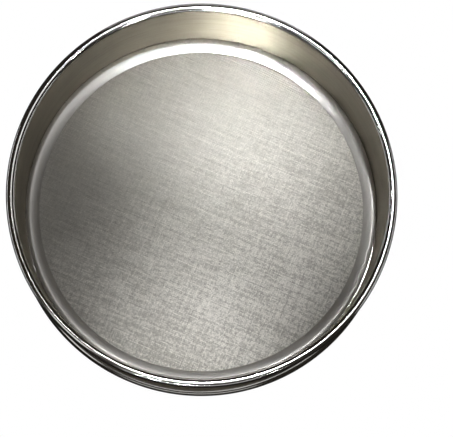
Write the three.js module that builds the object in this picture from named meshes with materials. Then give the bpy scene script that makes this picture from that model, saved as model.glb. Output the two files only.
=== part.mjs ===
// A round stainless soil sieve, in millimetres, +Z up, standing on its nesting skirt at z = 0.
// The bowl's wall is one drawn sheet with a rolled rim. Its foot and the edge of the wire cloth
// are gripped in a rolled seam on top of the skirt, and a rounded ring, tack welded to the wall,
// holds the cloth flat.
import * as THREE from "three";

// Driving dimensions
const BORE_RADIUS = 100; // inside of the bowl: a 200 mm sieve
const HEIGHT = 67; // skirt's edge to the top of the rim
const SHEET = 0.7; // thickness of both drawn frames
const FIT_GAP = 0.3; // between pieces that lie against each other
const RIM_ROLL_RADIUS = 2.5; // outside of the rolled rim's section
const RIM_ROLL_TURN = 300; // degrees of roll, which leaves a slit under the rim
const SEAM_ROLL_RADIUS = 2.6; // outside of the seam's section
const SEAM_ROLL_TURN = 240;
const SEAM_HEIGHT = 14.2; // centre of the seam's roll above the skirt's edge
const SKIRT_CLEARANCE = 0.7; // the skirt nests into the bowl of the sieve below
const BEND_RADIUS = 1; // centre line of the bends between walls and flanges
const FLANGE_END_RADIUS = 104.8; // the bowl's foot flange, inside the seam
const CLOTH_THICKNESS = 0.6; // two 0.3 mm wires crossing, as in cloth with 0.4 mm openings
const CLOTH_RADIUS = 103.9;
const RING_INNER_RADIUS = 92.3;
const RING_CREST_RADIUS = 97.5;
const RING_HEIGHT = 2.8;
const RING_INNER_LIP = 0.5; // upright edges of the ring, below its crown
const RING_OUTER_LIP = 2.2;
const RING_CROWN_POWER = 1.5; // 1 would be a cone, 2 a parabola
const WELD_COUNT = 45;
const WELD_RADIUS = 0.7;
const WELD_CENTRE_RADIUS = 99.1;
const WELD_RISE = 3.3; // weld's centre above the ring's underside

// How finely round shapes are cut into facets
const FACETS_AROUND = 64;
const ROLL_FACET_DEG = 30; // so that a roll has a facet edge at its highest and widest points
const BEND_STEPS = 3;
const RING_STEPS = 4;
const WELD_FACETS = [8, 4];

// Worked out from the driving dimensions
const WALL_LINE = BORE_RADIUS + SHEET / 2;
const SKIRT_LINE = BORE_RADIUS - SKIRT_CLEARANCE - SHEET / 2;
const RIM_CENTRE = [BORE_RADIUS + RIM_ROLL_RADIUS, HEIGHT - RIM_ROLL_RADIUS];
const RIM_LINE_RADIUS = RIM_ROLL_RADIUS - SHEET / 2;
const SEAM_CENTRE = [BORE_RADIUS + SHEET + FIT_GAP + SEAM_ROLL_RADIUS, SEAM_HEIGHT];
const SEAM_LINE_RADIUS = SEAM_ROLL_RADIUS - SHEET / 2;
const SKIRT_FLANGE_LINE = SEAM_HEIGHT - SEAM_LINE_RADIUS;
const CLOTH_BOTTOM = SKIRT_FLANGE_LINE + SHEET / 2 + FIT_GAP;
const CLOTH_TOP = CLOTH_BOTTOM + CLOTH_THICKNESS;
const RING_BOTTOM = CLOTH_TOP + FIT_GAP;
const RING_OUTER_RADIUS = BORE_RADIUS - FIT_GAP;
const FOOT_FLANGE_LINE = CLOTH_TOP + FIT_GAP + SHEET / 2;

/** Points of an elliptical arc about [radius, height], from one angle to another in degrees. */
function arc([centreRadius, centreHeight], [across, up], fromDeg, toDeg, steps) {
  const points = [];
  for (let step = 0; step <= steps; step += 1) {
    const angle = THREE.MathUtils.degToRad(fromDeg + ((toDeg - fromDeg) * step) / steps);
    points.push(
      new THREE.Vector2(
        centreRadius + across * Math.cos(angle),
        centreHeight + up * Math.sin(angle),
      ),
    );
  }
  return points;
}

/** The closed outline of a bent sheet, from the line along the middle of its thickness. */
function sheetOutline(line) {
  const last = line.length - 1;
  const side = (offset) =>
    line.map((point, index) => {
      const leaving = line[Math.min(index, last - 1) + 1].clone().sub(line[Math.min(index, last - 1)]);
      const arriving = index > 0 ? point.clone().sub(line[index - 1]) : leaving.clone();
      leaving.normalize();
      const along = arriving.normalize().add(leaving).normalize();
      const across = new THREE.Vector2(-along.y, along.x);
      return point.clone().addScaledVector(across, offset / along.dot(leaving));
    });
  return [...side(-SHEET / 2), ...side(SHEET / 2).reverse()];
}

/** A solid of revolution about Z from a closed outline of [radius, height] points. */
function turned(outline) {
  const ordered = THREE.ShapeUtils.area(outline) > 0 ? outline : [...outline].reverse();
  const geometry = new THREE.LatheGeometry([...ordered, ordered[0].clone()], FACETS_AROUND);
  return geometry.rotateX(Math.PI / 2);
}

function steel(colour, roughness) {
  return new THREE.MeshStandardMaterial({ color: colour, roughness, metalness: 1 });
}

function named(name, geometry, material) {
  const mesh = new THREE.Mesh(geometry, material);
  mesh.name = name;
  return mesh;
}

/** The bowl's wall: rolled rim, straight wall, and a flange turned out at its foot. */
function upperFrame() {
  const rim = [RIM_LINE_RADIUS, RIM_LINE_RADIUS];
  const bend = [WALL_LINE + BEND_RADIUS, FOOT_FLANGE_LINE + BEND_RADIUS];
  const line = [
    ...arc(RIM_CENTRE, rim, 180 - RIM_ROLL_TURN, 180, RIM_ROLL_TURN / ROLL_FACET_DEG),
    ...arc(bend, [BEND_RADIUS, BEND_RADIUS], 180, 270, BEND_STEPS),
    new THREE.Vector2(FLANGE_END_RADIUS, FOOT_FLANGE_LINE),
  ];
  return named("upper_frame", turned(sheetOutline(line)), steel("#b9b6ae", 0.08));
}

/** The nesting skirt, whose top turns out and rolls over the bowl's foot flange. */
function lowerFrame() {
  const seam = [SEAM_LINE_RADIUS, SEAM_LINE_RADIUS];
  const bend = [SKIRT_LINE + BEND_RADIUS, SKIRT_FLANGE_LINE - BEND_RADIUS];
  const line = [
    new THREE.Vector2(SKIRT_LINE, 0),
    ...arc(bend, [BEND_RADIUS, BEND_RADIUS], 180, 90, BEND_STEPS),
    ...arc(SEAM_CENTRE, seam, -90, SEAM_ROLL_TURN - 90, SEAM_ROLL_TURN / ROLL_FACET_DEG),
  ];
  return named("lower_frame", turned(sheetOutline(line)), steel("#b4b2ac", 0.16));
}

/** The ring's crown from its crest to one edge: a slope that steepens towards the edge. */
function crown(edgeRadius, lip) {
  const points = [];
  for (let step = 0; step <= RING_STEPS; step += 1) {
    const out = step / RING_STEPS;
    points.push(
      new THREE.Vector2(
        RING_CREST_RADIUS + (edgeRadius - RING_CREST_RADIUS) * out,
        RING_BOTTOM + RING_HEIGHT - (RING_HEIGHT - lip) * out ** RING_CROWN_POWER,
      ),
    );
  }
  return points;
}

/** The rounded ring that lies on the cloth against the foot of the wall. */
function retainingRing() {
  const outline = [
    new THREE.Vector2(RING_INNER_RADIUS, RING_BOTTOM),
    new THREE.Vector2(RING_OUTER_RADIUS, RING_BOTTOM),
    ...crown(RING_OUTER_RADIUS, RING_OUTER_LIP).reverse(),
    ...crown(RING_INNER_RADIUS, RING_INNER_LIP).slice(1),
  ];
  return named("retaining_ring", turned(outline), steel("#c9c6bf", 0.2));
}

/** The woven cloth, as a plain disc of the wires' height; its edge lies inside the seam. */
function wireCloth() {
  const outline = [
    new THREE.Vector2(0, CLOTH_BOTTOM),
    new THREE.Vector2(CLOTH_RADIUS, CLOTH_BOTTOM),
    new THREE.Vector2(CLOTH_RADIUS, CLOTH_TOP),
    new THREE.Vector2(0, CLOTH_TOP),
  ];
  const geometry = new THREE.LatheGeometry(outline, FACETS_AROUND).rotateX(Math.PI / 2);
  return named("wire_cloth", geometry, steel("#a8a49b", 0.35));
}

/** One small weld dot in the groove between the ring and the wall. */
function tackWeld(index) {
  const geometry = new THREE.SphereGeometry(WELD_RADIUS, ...WELD_FACETS).rotateX(Math.PI / 2);
  const label = String(index + 1).padStart(2, "0");
  const weld = named(`tack_weld_${label}`, geometry, steel("#d8d5ce", 0.25));
  const angle = (index / WELD_COUNT) * 2 * Math.PI;
  weld.position.set(
    WELD_CENTRE_RADIUS * Math.cos(angle),
    WELD_CENTRE_RADIUS * Math.sin(angle),
    RING_BOTTOM + WELD_RISE,
  );
  weld.rotation.z = angle;
  return weld;
}

const group = new THREE.Group();
group.add(upperFrame(), lowerFrame(), retainingRing(), wireCloth());
for (let index = 0; index < WELD_COUNT; index += 1) {
  group.add(tackWeld(index));
}

export default group;
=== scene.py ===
"""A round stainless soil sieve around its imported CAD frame: finer turned metal, woven wire cloth,
weld dots, a white floor and studio lamps. Metres, +Z up, in the CAD's frame."""
import math
import random

import bmesh
import bpy
import numpy as np
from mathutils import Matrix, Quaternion, Vector

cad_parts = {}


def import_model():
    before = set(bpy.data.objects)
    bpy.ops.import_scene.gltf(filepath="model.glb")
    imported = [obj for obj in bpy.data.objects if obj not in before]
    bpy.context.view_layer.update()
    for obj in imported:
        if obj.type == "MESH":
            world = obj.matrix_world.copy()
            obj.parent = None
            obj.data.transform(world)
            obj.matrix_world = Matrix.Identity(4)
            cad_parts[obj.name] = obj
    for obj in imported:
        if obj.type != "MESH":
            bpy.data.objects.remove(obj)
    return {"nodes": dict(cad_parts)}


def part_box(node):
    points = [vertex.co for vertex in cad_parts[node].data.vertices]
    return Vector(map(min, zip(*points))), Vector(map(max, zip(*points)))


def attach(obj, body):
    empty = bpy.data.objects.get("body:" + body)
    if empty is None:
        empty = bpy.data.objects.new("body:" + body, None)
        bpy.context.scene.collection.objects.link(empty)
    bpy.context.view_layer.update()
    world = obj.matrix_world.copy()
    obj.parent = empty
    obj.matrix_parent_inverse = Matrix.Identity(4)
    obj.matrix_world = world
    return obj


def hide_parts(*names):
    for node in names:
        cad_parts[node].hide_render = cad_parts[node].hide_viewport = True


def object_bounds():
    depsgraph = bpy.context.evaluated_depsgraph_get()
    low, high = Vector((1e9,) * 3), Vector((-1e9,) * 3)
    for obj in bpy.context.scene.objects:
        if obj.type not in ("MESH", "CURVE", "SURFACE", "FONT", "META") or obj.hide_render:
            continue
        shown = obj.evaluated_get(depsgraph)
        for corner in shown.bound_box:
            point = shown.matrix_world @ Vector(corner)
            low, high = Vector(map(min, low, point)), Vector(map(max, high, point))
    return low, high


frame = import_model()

MM = 0.001
CAD_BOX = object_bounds()

# ---------------------------------------------------------------- sizes, from the CAD frame
WALL_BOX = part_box("upper_frame")
SEAM_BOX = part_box("lower_frame")
RING_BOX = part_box("retaining_ring")
CLOTH_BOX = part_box("wire_cloth")

SHEET = 0.7 * MM
FIT_GAP = 0.3 * MM
BORE_RADIUS = 100 * MM
HEIGHT = 67 * MM
RIM_ROLL_RADIUS = 2.5 * MM
RIM_ROLL_TURN = 300
RIM_LOWEST = HEIGHT - 2 * RIM_ROLL_RADIUS - 1 * MM  # faces above this and outside the bore
RIM_MARGIN = 0.25 * MM                              # by this much have the rim's polish
SEAM_ROLL_RADIUS = 2.6 * MM
SEAM_ROLL_TURN = 240
BEND_RADIUS = 1 * MM
FLANGE_END_RADIUS = 104.8 * MM
SKIRT_OUTER_RADIUS = 99.3 * MM
CLOTH_BOTTOM, CLOTH_TOP = CLOTH_BOX[0].z, CLOTH_BOX[1].z
RING_BOTTOM, RING_TOP = RING_BOX[0].z, RING_BOX[1].z
RING_OUTER_RADIUS = BORE_RADIUS - FIT_GAP
RING_INNER_RADIUS = 92.3 * MM
RING_CREST_RADIUS = 97.5 * MM
RING_INNER_LIP, RING_OUTER_LIP = 0.5 * MM, 2.2 * MM
RING_CROWN_POWER = 1.5  # 1 would be a cone, 2 a parabola
RING_STEPS = 16
SKIRT_FLANGE_LINE = CLOTH_BOTTOM - FIT_GAP - SHEET / 2
FOOT_FLANGE_LINE = CLOTH_TOP + FIT_GAP + SHEET / 2

# Fineness of the turned metal
TURNS = 384
ROLL_STEP_DEG = 7.5
SHARP_EDGE_DEG = 34
QUARTER_TURN = 0.25  # turning lines run round, so the sheen spreads across them

# Wire cloth: flat-topped strands 0.34 mm wide, with 0.36 mm openings
WIRE_PITCH = 0.7 * MM
WIRE_WIDTH = 0.34 * MM
WIRE_HEIGHT = (CLOTH_TOP - CLOTH_BOTTOM) / 2
WIRE_CRIMP = 0.5    # rise and fall of a wire, as a share of its half height
WIRE_WANDER = 0.14  # sideways wander, as a share of the pitch
WANDER_WAVES = 3
WANDER_RATES = (0.03, 0.45)
STRAND_SECTION = ((-0.5, 0.6), (0.0, -0.8), (0.5, 0.6))  # flat on top, keeled below
CLOTH_REACH = 99.5 * MM
WEAVE_ANGLE = math.radians(-20.5)
WEFT_SEED, WARP_SEED = 7, 11
CONTRAST_FROM_TO = (-0.05, 0.09)  # metres towards the near right, over which the contrast grows
CLOTH_CONTRAST = (1.3, 5.5)
CLOTH_DARK, CLOTH_PALE = (0.45, 0.43, 0.39, 1), (0.96, 0.935, 0.875, 1)

# Weld beads: shrunk a little inside the CAD's ball, with a few dents
WELD_RADIUS = 0.7 * MM
BEAD_SHARE, BEAD_HEIGHT_SHARE = 0.97, 0.92
BEAD_DENTS, BEAD_DENT_DEPTH, BEAD_DENT_SHARPNESS = 5, 0.09, 6

# Camera
RIM_CENTRE = Vector((0, 0, HEIGHT - RIM_ROLL_RADIUS))
VIEW_ELEVATION = 78.8  # degrees, like the roll, pan and tilt
VIEW_DISTANCE = 0.8055
VIEW_ROLL, VIEW_PAN, VIEW_TILT = 2.4, 0.925, 1.03
LENS = 119.3
SENSOR_WIDTH = 36
CLIP_NEAR, CLIP_FAR = 0.01, 20

# Studio. Lamp directions are azimuth (0 is +X, 90 is +Y) and elevation, in degrees. Many of the
# powers began as least-squares estimates. They were rounded, and most were then changed
LAMP_DISTANCE = 1.4
SPOT_RADIUS = 0.05
WINDOW_HEIGHT, WINDOW_ELEVATION, WINDOW_SPREAD, WINDOW_AIM = 0.08, 28, 6, 0.041
RING_SLOPE, RING_SLOPE_RADIUS, RING_POOL_REACH = 26, 0.095, 0.025
ABOVE = (81, 80)
FILL_ELEVATION, FILL_SIZE, FILL_POWER = 5, (1.4, 0.14), 1.6
SOFTBOXES = (  # name, azimuth, elevation, size, power
    ("room_front", -92, 22, (1.2, 0.5), 1),
    ("front_high", -92, 70, (0.6, 0.3), 0.5),
    ("room_right", -140, 48, (0.35, 0.5), 0.6),
    ("overhead", 10, 76, (0.6, 0.6), 1.3),
    ("fill_back", 90, FILL_ELEVATION, FILL_SIZE, FILL_POWER),
    ("fill_left", 180, FILL_ELEVATION, FILL_SIZE, FILL_POWER),
    ("fill_right", 0, FILL_ELEVATION, FILL_SIZE, FILL_POWER),
)
WINDOWS = (  # azimuth, angle round the wall that it reaches, width, power
    (-105, 78, 0.08, 0.13),
    (-93, 91, 0.2, 0.035),
    (-62, 122, 0.2, 0.012),
)
POOLS = (  # name, what it is aimed at, reach, power
    ("cloth_far", (0.0, 0.05, CLOTH_TOP), 0.05, 41),
    ("cloth_right", (0.046, 0.044, CLOTH_TOP), 0.05, 53),
    ("cloth_near", (0.012, -0.042, CLOTH_TOP), 0.05, 47),
    ("cloth_left", (-0.045, -0.05, CLOTH_TOP), 0.05, 6),
    ("cloth_spot", (0.02, 0.046, CLOTH_TOP), 0.026, 34),
    ("cloth_edge", (0.082, 0.01, CLOTH_TOP), 0.038, 34),
    ("near_side", (0.0, -0.105, CLOTH_TOP), 0.085, 16),
    ("ring_near", (-0.008, -0.106, RING_TOP), 0.028, 60),
)
RING_POOLS = ((135, 20), (112, 16), (90, 17), (68, 13), (45, 9), (22, 9), (0, 10))  # angle, power
ROOM_COLOUR = (0.022, 0.019, 0.015, 1)
WHITE = (1, 1, 1, 1)
FLOOR_REACH = 1.5
FLOOR_DROP = 0.1 * MM
FLOOR_UNDER, FLOOR_AROUND = (0.55, 0.54, 0.52, 1), (0.06, 0.057, 0.052, 1)
FLOOR_CHANGE = (0.0975, 0.102)  # radius where the floor under the cloth gives way to the one around


# ---------------------------------------------------------------- mesh helpers
def arc(centre, reach, start, end, step=ROLL_STEP_DEG):
    """Points of an elliptical arc about (radius, height), between two angles in degrees."""
    count = max(2, math.ceil(abs(end - start) / step))
    angles = [math.radians(start + (end - start) * i / count) for i in range(count + 1)]
    return [(centre[0] + reach[0] * math.cos(a), centre[1] + reach[1] * math.sin(a)) for a in angles]


def sheet_outline(line):
    """The closed outline of a bent sheet, from the line along the middle of its thickness."""
    points = [Vector(p) for p in line]
    legs = [(b - a).normalized() for a, b in zip(points, points[1:])]
    arriving = [legs[0]] + legs
    leaving = legs + [legs[-1]]
    sides = []
    for offset in (-SHEET / 2, SHEET / 2):
        side = []
        for point, before, after in zip(points, arriving, leaving):
            along = (before + after).normalized()
            across = Vector((-along.y, along.x))
            side.append(point + across * (offset / along.dot(after)))
        sides.append(side)
    return sides[0] + sides[1][::-1]


def new_object(name, mesh):
    piece = bpy.data.objects.new(name, mesh)
    bpy.context.scene.collection.objects.link(piece)
    return piece


def mesh_from_arrays(name, points, quads):
    mesh = bpy.data.meshes.new(name)
    mesh.from_pydata(points, [], quads)
    mesh.validate()
    return mesh


def smooth_with_sharp_edges(mesh):
    """Smooth shading that keeps the edges of the sheet crisp."""
    work = bmesh.new()
    work.from_mesh(mesh)
    bmesh.ops.recalc_face_normals(work, faces=work.faces)
    for face in work.faces:
        face.smooth = True
    limit = math.radians(SHARP_EDGE_DEG)
    for edge in work.edges:
        edge.smooth = len(edge.link_faces) != 2 or edge.calc_face_angle(0) < limit
    work.to_mesh(mesh)
    work.free()


def turned(name, outline):
    """A closed ring turned about Z from a closed outline of (radius, height)."""
    count = len(outline)
    angles = np.arange(TURNS) * (2 * math.pi / TURNS)
    radius = np.array([p[0] for p in outline])
    height = np.array([p[1] for p in outline])
    points = np.stack(
        [np.outer(np.cos(angles), radius), np.outer(np.sin(angles), radius),
         np.broadcast_to(height, (TURNS, count))], axis=-1).reshape(-1, 3)
    quads = []
    for turn in range(TURNS):
        here, there = turn * count, ((turn + 1) % TURNS) * count
        for i in range(count):
            j = (i + 1) % count
            quads.append((here + i, there + i, there + j, here + j))
    mesh = mesh_from_arrays(name, points.tolist(), quads)
    smooth_with_sharp_edges(mesh)
    return new_object(name, mesh)


# ---------------------------------------------------------------- pieces
def upper_frame():
    line_radius = RIM_ROLL_RADIUS - SHEET / 2
    rim = (BORE_RADIUS + RIM_ROLL_RADIUS, HEIGHT - RIM_ROLL_RADIUS)
    bend = (BORE_RADIUS + SHEET / 2 + BEND_RADIUS, FOOT_FLANGE_LINE + BEND_RADIUS)
    line = arc(rim, (line_radius, line_radius), 180 - RIM_ROLL_TURN, 180)
    line += arc(bend, (BEND_RADIUS, BEND_RADIUS), 180, 270)
    line += [(FLANGE_END_RADIUS, FOOT_FLANGE_LINE)]
    piece = turned("bowl_wall", sheet_outline(line))
    for face in piece.data.polygons:
        place = face.center
        rolled = place.z > RIM_LOWEST and math.hypot(place.x, place.y) > BORE_RADIUS + RIM_MARGIN
        face.material_index = 1 if rolled else 0
    return piece


def lower_frame():
    line_radius = SEAM_ROLL_RADIUS - SHEET / 2
    seam = (BORE_RADIUS + SHEET + FIT_GAP + SEAM_ROLL_RADIUS, SKIRT_FLANGE_LINE + line_radius)
    skirt = SKIRT_OUTER_RADIUS - SHEET / 2
    bend = (skirt + BEND_RADIUS, SKIRT_FLANGE_LINE - BEND_RADIUS)
    line = [(skirt, SEAM_BOX[0].z)]
    line += arc(bend, (BEND_RADIUS, BEND_RADIUS), 180, 90)
    line += arc(seam, (line_radius, line_radius), -90, SEAM_ROLL_TURN - 90)
    return turned("nesting_skirt", sheet_outline(line))


def retaining_ring():
    """A low crown: a long curved slope up from the cloth, then a short fall to the groove."""
    rise = RING_TOP - RING_BOTTOM
    outline = [(RING_INNER_RADIUS, RING_BOTTOM), (RING_OUTER_RADIUS, RING_BOTTOM)]
    for edge, lip in ((RING_OUTER_RADIUS, RING_OUTER_LIP), (RING_INNER_RADIUS, RING_INNER_LIP)):
        slope = []
        for step in range(RING_STEPS + 1):
            out = 1 - step / RING_STEPS
            radius = RING_CREST_RADIUS + (edge - RING_CREST_RADIUS) * out
            slope.append((radius, RING_TOP - (rise - lip) * out ** RING_CROWN_POWER))
        outline += slope if edge == RING_OUTER_RADIUS else slope[-2::-1]
    return turned("cloth_ring", outline)


def woven_wires(name, along_angle, first_up, side):
    """The wires that run one way, on one side of the middle: each is a thin strand that rises and
    dips in turn over the wires it crosses and wanders a little from its straight line."""
    rng = np.random.default_rng(WEFT_SEED if first_up else WARP_SEED)
    half = int(CLOTH_REACH / WIRE_PITCH)
    middle = (CLOTH_BOTTOM + CLOTH_TOP) / 2
    lift = WIRE_HEIGHT / 2
    along = np.array([math.cos(along_angle), math.sin(along_angle)])
    across = np.array([-along[1], along[0]])
    corners = len(STRAND_SECTION)
    points, faces, tones = [], [], []
    for wire in range(-half, half + 1):
        phases = rng.uniform(0, 2 * math.pi, WANDER_WAVES)
        waves = rng.uniform(*WANDER_RATES, WANDER_WAVES)
        tone = rng.random()
        offset = wire * WIRE_PITCH
        reach = int(math.sqrt(max(CLOTH_REACH ** 2 - offset ** 2, 0)) / WIRE_PITCH)
        if reach < 2 or (wire >= 0) != (side > 0):
            continue
        steps = np.arange(-reach, reach + 1)
        wander = np.sin(np.outer(steps, waves) + phases).mean(axis=1) * WIRE_WANDER * WIRE_PITCH
        centres = np.outer(steps * WIRE_PITCH, along)
        up = np.where(((wire + steps) % 2 == 0) == first_up, 1, -1)
        start = sum(len(block) for block in points)
        strand = np.empty((len(steps), corners, 3))
        for k, (aside, height) in enumerate(STRAND_SECTION):
            strand[:, k, :2] = centres + np.outer(offset + wander + aside * WIRE_WIDTH, across)
            strand[:, k, 2] = middle + (up * WIRE_CRIMP + height) * lift
        points.append(strand.reshape(-1, 3))
        tones += [tone] * (corners * len(steps))
        here = start + corners * np.arange(len(steps) - 1)
        there = here + corners
        for k in range(corners):
            n = (k + 1) % corners
            faces += np.stack([here + k, here + n, there + n, there + k], axis=1).tolist()
        end = start + corners * (len(steps) - 1)
        faces += [[start, start + 2, start + 1], [end, end + 1, end + 2]]
    mesh = mesh_from_arrays(name, np.concatenate(points).tolist(), faces)
    shade = mesh.attributes.new("wire_tone", "FLOAT", "POINT")
    shade.data.foreach_set("value", np.array(tones, np.float32))
    return new_object(name, mesh)


def tack_weld(node):
    """A small dented bead of weld metal where the CAD has its ball."""
    low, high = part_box(node)
    centre = (low + high) / 2
    rng = random.Random(node)
    work = bmesh.new()
    bmesh.ops.create_icosphere(work, subdivisions=3, radius=WELD_RADIUS * BEAD_SHARE)
    outward = Vector((centre.x, centre.y, 0)).normalized()
    sideways = Vector((-outward.y, outward.x, 0))
    dents = [Vector([rng.gauss(0, 1) for _ in range(3)]).normalized() for _ in range(BEAD_DENTS)]
    for vert in work.verts:
        way = vert.co.normalized()
        dent = sum(max(0.0, way.dot(d)) ** BEAD_DENT_SHARPNESS for d in dents) * BEAD_DENT_DEPTH
        local = way * WELD_RADIUS * (BEAD_SHARE - dent)
        vert.co = outward * local.x + sideways * local.y
        vert.co.z += local.z * BEAD_HEIGHT_SHARE
        vert.co += centre
    mesh = bpy.data.meshes.new("weld_" + node[-2:])
    work.to_mesh(mesh)
    work.free()
    mesh.polygons.foreach_set("use_smooth", np.ones(len(mesh.polygons), bool))
    return new_object("weld_" + node[-2:], mesh)


# ---------------------------------------------------------------- materials
class Nodes:
    """Short calls for building one material's nodes."""

    def __init__(self, name):
        self.material = bpy.data.materials.new(name)
        self.material.use_nodes = True
        self.tree = self.material.node_tree
        self.tree.nodes.clear()

    def add(self, kind, inputs=None, **settings):
        node = self.tree.nodes.new(kind)
        for key, value in settings.items():
            setattr(node, key, value)
        for key, value in (inputs or {}).items():
            if isinstance(value, bpy.types.NodeSocket):
                self.tree.links.new(value, node.inputs[key])
            else:
                node.inputs[key].default_value = value
        return node

    def maths(self, operation, a, b=0.0):
        return self.add("ShaderNodeMath", {0: a, 1: b}, operation=operation).outputs[0]

    def weighted(self, *parts):
        """The sum of (value, weight) pairs."""
        shares = [self.maths("MULTIPLY", value, weight) for value, weight in parts]
        total = shares[0]
        for share in shares[1:]:
            total = self.maths("ADD", total, share)
        return total

    def ranged(self, value, low, high, to_low, to_high):
        fields = {"From Min": low, "From Max": high, "To Min": to_low, "To Max": to_high}
        return self.add("ShaderNodeMapRange", {"Value": value, **fields}).outputs[0]

    def noise(self, vector, scale, detail=2.0, roughness=0.5):
        fields = {"Vector": vector, "Scale": scale, "Detail": detail, "Roughness": roughness}
        return self.add("ShaderNodeTexNoise", fields).outputs[0]

    def mix(self, factor, a, b):
        node = self.add("ShaderNodeMix", data_type="RGBA")
        for socket, value in ((node.inputs[0], factor), (node.inputs[6], a), (node.inputs[7], b)):
            if isinstance(value, bpy.types.NodeSocket):
                self.tree.links.new(value, socket)
            else:
                socket.default_value = value
        return node.outputs[2]

    def turned_place(self, around=0.02):
        """Object coordinates as (radius, height, a little of the way round), in metres."""
        place = self.add("ShaderNodeTexCoord").outputs["Object"]
        split = self.add("ShaderNodeSeparateXYZ", {0: place})
        flat = self.add("ShaderNodeCombineXYZ", {0: split.outputs[0], 1: split.outputs[1]})
        length = self.add("ShaderNodeVectorMath", {0: flat.outputs[0]}, operation="LENGTH")
        angle = self.maths("ARCTAN2", split.outputs[1], split.outputs[0])
        swept = self.maths("MULTIPLY", angle, around * BORE_RADIUS)
        place = {0: length.outputs["Value"], 1: split.outputs[2], 2: swept}
        return self.add("ShaderNodeCombineXYZ", place).outputs[0]

    def finish(self, **inputs):
        fields = {key.replace("_", " "): value for key, value in inputs.items()}
        shader = self.add("ShaderNodeBsdfPrincipled", fields)
        self.add("ShaderNodeOutputMaterial", {"Surface": shader.outputs[0]})
        return shader


def turned_steel(name, colour, dark, roughness, line_bump, anisotropy):
    """Polished stainless with fine lines left by turning, faint blotches and small scratches."""
    n = Nodes(name)
    place = n.turned_place()
    lines = n.noise(place, scale=2600.0, detail=3.0, roughness=0.7)
    bands = n.noise(place, scale=240.0, detail=2.0, roughness=0.5)
    whole = n.add("ShaderNodeTexCoord").outputs["Object"]
    blotch = n.noise(whole, scale=38.0, detail=4.0, roughness=0.6)
    slanted = {"Vector": whole, "Rotation": (0.3, 0.5, 0.9), "Scale": (1.0, 14.0, 3.0)}
    scratch_place = n.add("ShaderNodeMapping", slanted).outputs[0]
    scratch = n.noise(scratch_place, scale=260.0, detail=1.0, roughness=0.4)
    scratched = n.ranged(scratch, 0.66, 0.72, 0.0, 1.0)
    shade = n.ranged(n.weighted((bands, 0.5), (blotch, 0.5)), 0.35, 0.65, 0.0, 1.0)
    tint = n.mix(shade, (*dark, 1), (*colour, 1))
    rough = n.ranged(lines, 0.3, 0.7, roughness * 0.8, roughness * 1.25)
    rough = n.maths("ADD", rough, n.maths("MULTIPLY", scratched, 0.05))
    height = n.maths("ADD", lines, n.maths("MULTIPLY", scratched, -0.4))
    bump = n.add("ShaderNodeBump", {"Strength": line_bump, "Distance": 0.02 * MM, "Height": height})
    shader = n.finish(Base_Color=tint, Metallic=1.0, Roughness=rough, Normal=bump.outputs[0])
    shader.inputs["Anisotropic"].default_value = anisotropy
    shader.inputs["Anisotropic Rotation"].default_value = QUARTER_TURN
    if anisotropy:
        tangent = n.add("ShaderNodeTangent", direction_type="RADIAL", axis="Z")
        n.tree.links.new(tangent.outputs[0], shader.inputs["Tangent"])
    return n.material


def wire_steel(name, along_angle, run_rate, strength):
    """Drawn stainless wire: tone changes from wire to wire, in runs along each wire and in specks.
    Their contrast is set by place on the cloth: it grows towards the near right."""
    n = Nodes(name)
    whole = n.add("ShaderNodeTexCoord").outputs["Object"]
    tone = n.add("ShaderNodeAttribute", attribute_name="wire_tone").outputs["Fac"]
    turn = {"Vector": whole, "Rotation": (0, 0, -along_angle)}
    along = n.add("ShaderNodeMapping", turn).outputs[0]
    run = n.add("ShaderNodeMapping", {"Vector": along, "Scale": (run_rate, 700, 1)})
    long_run = n.add("ShaderNodeMapping", {"Vector": along, "Scale": (24, 420, 1)})
    streak = n.noise(run.outputs[0], scale=1.0, detail=3.0, roughness=0.6)
    drift = n.noise(long_run.outputs[0], scale=1.0, detail=2.0, roughness=0.6)
    speck = n.noise(whole, scale=900.0, detail=2.0, roughness=0.6)
    cloud = n.noise(whole, scale=14.0, detail=3.0, roughness=0.5)
    split = n.add("ShaderNodeSeparateXYZ", {0: whole})
    near_right = n.maths("SUBTRACT", n.maths("MULTIPLY", split.outputs[0], 0.6), split.outputs[1])
    contrast = n.ranged(near_right, *CONTRAST_FROM_TO, *[strength * c for c in CLOTH_CONTRAST])
    total = n.weighted((streak, 0.34), (drift, 0.24), (speck, 0.28), (cloud, 0.1), (tone, 0.04))
    swing = n.maths("MULTIPLY", n.maths("SUBTRACT", total, 0.5), contrast)
    total = n.maths("ADD", swing, 0.5)
    shade = n.ranged(total, 0.3, 0.7, 0.0, 1.0)
    tint = n.mix(shade, CLOTH_DARK, CLOTH_PALE)
    rough = n.ranged(total, 0.3, 0.7, 0.52, 0.42)
    grain = n.noise(whole, scale=9000.0, detail=1.0, roughness=0.5)
    bump = n.add("ShaderNodeBump", {"Strength": 0.15, "Distance": 0.01 * MM, "Height": grain})
    n.finish(Base_Color=tint, Metallic=1.0, Roughness=rough, Normal=bump.outputs[0])
    return n.material


def weld_metal():
    n = Nodes("weld_bead")
    whole = n.add("ShaderNodeTexCoord").outputs["Object"]
    grain = n.noise(whole, scale=2500.0, detail=3.0, roughness=0.6)
    tint = n.mix(grain, (0.62, 0.60, 0.56, 1), (0.88, 0.87, 0.84, 1))
    rough = n.ranged(grain, 0.3, 0.7, 0.28, 0.42)
    bump = n.add("ShaderNodeBump", {"Strength": 0.3, "Distance": 0.03 * MM, "Height": grain})
    n.finish(Base_Color=tint, Metallic=1.0, Roughness=rough, Normal=bump.outputs[0])
    return n.material


# ---------------------------------------------------------------- studio
def heading(azimuth, elevation):
    """The direction at an azimuth (0 is +X, 90 is +Y) and an elevation, in degrees."""
    a, e = math.radians(azimuth), math.radians(elevation)
    return Vector((math.cos(a) * math.cos(e), math.sin(a) * math.cos(e), math.sin(e)))


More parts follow.
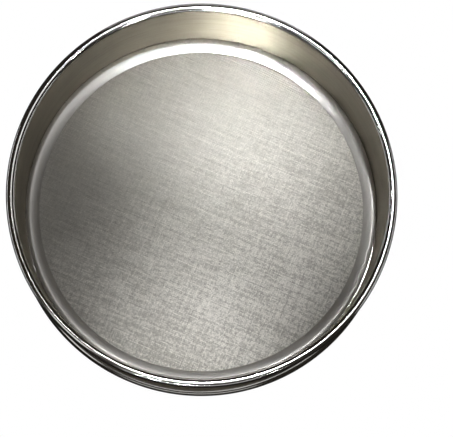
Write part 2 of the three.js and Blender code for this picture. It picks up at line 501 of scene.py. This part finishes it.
def staged(name, data, place, back, *turns):
    """A lamp or camera at a place, facing away from `back`."""
    piece = bpy.data.objects.new(name, data)
    bpy.context.scene.collection.objects.link(piece)
    piece.location = place
    aimed = (-back).to_track_quat("-Z", "Y")
    for axis, angle in turns:
        aimed = aimed @ Quaternion([float(axis == k) for k in range(3)], angle)
    piece.rotation_mode = "QUATERNION"
    piece.rotation_quaternion = aimed
    return piece


def camera_place():
    return RIM_CENTRE + heading(-90, VIEW_ELEVATION) * VIEW_DISTANCE


def camera():
    data = bpy.data.cameras.new("camera")
    data.lens = LENS
    data.sensor_width = SENSOR_WIDTH
    data.dof.use_dof = False
    data.clip_start, data.clip_end = CLIP_NEAR, CLIP_FAR
    turns = [(2, math.radians(VIEW_ROLL)), (1, -math.radians(VIEW_PAN)), (0, -math.radians(VIEW_TILT))]
    back = heading(-90, VIEW_ELEVATION)
    bpy.context.scene.camera = staged("camera", data, camera_place(), back, *turns)


def softbox(name, way, size, power):
    """A rectangular lamp that faces the sieve."""
    data = bpy.data.lights.new(name, "AREA")
    data.shape = "RECTANGLE"
    data.size, data.size_y = size
    data.energy = power
    staged(name, data, way * LAMP_DISTANCE, way)


def pool(name, way, aim, reach, power):
    """A spot whose light falls only within reach of the point it is aimed at."""
    data = bpy.data.lights.new(name, "SPOT")
    data.energy = power
    data.spot_size = 2 * math.atan(reach / LAMP_DISTANCE)
    data.spot_blend = 1.0
    data.shadow_soft_size = SPOT_RADIUS
    staged(name, data, Vector(aim) + way * LAMP_DISTANCE, way)


def ring_pool(angle, power):
    """A pool on the ring, from the side where its inner slope mirrors it to the camera."""
    aim = heading(angle, 0) * RING_SLOPE_RADIUS + Vector((0, 0, RING_TOP))
    normal = heading(angle + 180, 90 - RING_SLOPE)
    seen = (camera_place() - aim).normalized()
    pool("ring_pool", 2 * seen.dot(normal) * normal - seen, aim, RING_POOL_REACH, power)


def window(azimuth, angle, width, power):
    """A low, narrow-beamed window that reaches only the far wall, over the near rim."""
    data = bpy.data.lights.new("window", "AREA")
    data.shape = "RECTANGLE"
    data.size, data.size_y = width, WINDOW_HEIGHT
    data.spread = math.radians(WINDOW_SPREAD)
    data.energy = power
    way = heading(azimuth, WINDOW_ELEVATION)
    aim = heading(angle, 0) * BORE_RADIUS + Vector((0, 0, WINDOW_AIM))
    staged("window", data, aim + way * LAMP_DISTANCE, way)


def lights():
    for name, azimuth, elevation, size, power in SOFTBOXES:
        softbox(name, heading(azimuth, elevation), size, power)
    for azimuth, angle, width, power in WINDOWS:
        window(azimuth, angle, width, power)
    for name, aim, reach, power in POOLS:
        pool(name, heading(*ABOVE), aim, reach, power)
    for angle, power in RING_POOLS:
        ring_pool(angle, power)


def floor():
    """White to the camera. Round the sieve it is dark to reflections, and paler under the cloth."""
    corners = [(x * FLOOR_REACH, y * FLOOR_REACH, 0) for x, y in ((-1, -1), (1, -1), (1, 1), (-1, 1))]
    mesh = mesh_from_arrays("floor", corners, [(0, 1, 2, 3)])
    piece = new_object("floor", mesh)
    piece.location.z = CAD_BOX[0].z - FLOOR_DROP
    n = Nodes("pale_floor")
    split = n.add("ShaderNodeSeparateXYZ", {0: n.add("ShaderNodeTexCoord").outputs["Object"]})
    flat = n.add("ShaderNodeCombineXYZ", {0: split.outputs[0], 1: split.outputs[1]}).outputs[0]
    radius = n.add("ShaderNodeVectorMath", {0: flat}, operation="LENGTH").outputs["Value"]
    outside = n.ranged(radius, *FLOOR_CHANGE, 0.0, 1.0)
    seen = n.add("ShaderNodeLightPath").outputs["Is Camera Ray"]
    paper = n.add("ShaderNodeBsdfDiffuse", {"Color": n.mix(outside, FLOOR_UNDER, FLOOR_AROUND)})
    glow = n.add("ShaderNodeEmission", {"Color": WHITE, "Strength": 1.0})
    share = n.maths("MULTIPLY", seen, outside)
    lit = n.add("ShaderNodeMixShader", {0: share, 1: paper.outputs[0], 2: glow.outputs[0]})
    n.add("ShaderNodeOutputMaterial", {"Surface": lit.outputs[0]})
    mesh.materials.append(n.material)


def world():
    """A dim warm room for reflections, behind a white page for the camera."""
    space = bpy.data.worlds.new("studio")
    space.use_nodes = True
    tree = space.node_tree
    tree.nodes.clear()
    seen = tree.nodes.new("ShaderNodeLightPath").outputs["Is Camera Ray"]
    mixed = tree.nodes.new("ShaderNodeMixShader")
    tree.links.new(seen, mixed.inputs[0])
    for socket, colour in ((1, ROOM_COLOUR), (2, WHITE)):
        background = tree.nodes.new("ShaderNodeBackground")
        background.inputs[0].default_value = colour
        tree.links.new(background.outputs[0], mixed.inputs[socket])
    out = tree.nodes.new("ShaderNodeOutputWorld")
    tree.links.new(mixed.outputs[0], out.inputs[0])
    bpy.context.scene.world = space


# ---------------------------------------------------------------- the scene
def dress(piece, material, slot, *nodes):
    """Give a piece its material and body, and hide the CAD nodes it stands for. The slot is not used.
    """
    piece.data.materials.append(material)
    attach(piece, "root")
    if nodes:
        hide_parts(*nodes)


camera()
# Painted shade: the wall is the same stainless as the skirt, ring and rim, but its base colour is made
# much darker and browner to give it a shaded tone.
wall_steel_painted_shade = turned_steel(
    "polished_wall", colour=(0.36, 0.33, 0.26), dark=(0.27, 0.245, 0.19),
    roughness=0.34, line_bump=0.12, anisotropy=0.9)
skirt_steel = turned_steel(
    "satin_frame", colour=(0.72, 0.71, 0.68), dark=(0.62, 0.61, 0.58),
    roughness=0.16, line_bump=0.35, anisotropy=0.6)
ring_steel = turned_steel(
    "ring_steel", colour=(0.86, 0.84, 0.81), dark=(0.74, 0.72, 0.69),
    roughness=0.45, line_bump=0.4, anisotropy=0.3)
rim_steel = turned_steel(
    "rolled_rim", colour=(0.74, 0.73, 0.72), dark=(0.62, 0.61, 0.60),
    roughness=0.13, line_bump=0.25, anisotropy=0.0)
wall = upper_frame()
dress(wall, wall_steel_painted_shade, "polished_wall", "upper_frame")
wall.data.materials.append(rim_steel)
dress(lower_frame(), skirt_steel, "satin_frame", "lower_frame")
dress(retaining_ring(), ring_steel, "ring_steel", "retaining_ring")
warp_angle = WEAVE_ANGLE + math.pi / 2
weft_wire = wire_steel("weft_wire", WEAVE_ANGLE, run_rate=90, strength=1.0)
warp_wire = wire_steel("warp_wire", warp_angle, run_rate=140, strength=0.5)
for side, half_name in ((-1, "near"), (1, "far")):
    stands_for = ["wire_cloth"] if side > 0 else []
    weft = woven_wires("cloth_weft_" + half_name, WEAVE_ANGLE, True, side)
    warp = woven_wires("cloth_warp_" + half_name, warp_angle, False, side)
    dress(weft, weft_wire, "wire_cloth", *stands_for)
    dress(warp, warp_wire, "wire_cloth")
bead = weld_metal()
for node in sorted(name for name in frame["nodes"] if name.startswith("tack_weld_")):
    dress(tack_weld(node), bead, "weld_metal", node)

floor()
world()
lights()

settings = bpy.context.scene.view_settings
settings.view_transform = "Standard"
settings.look = "None"
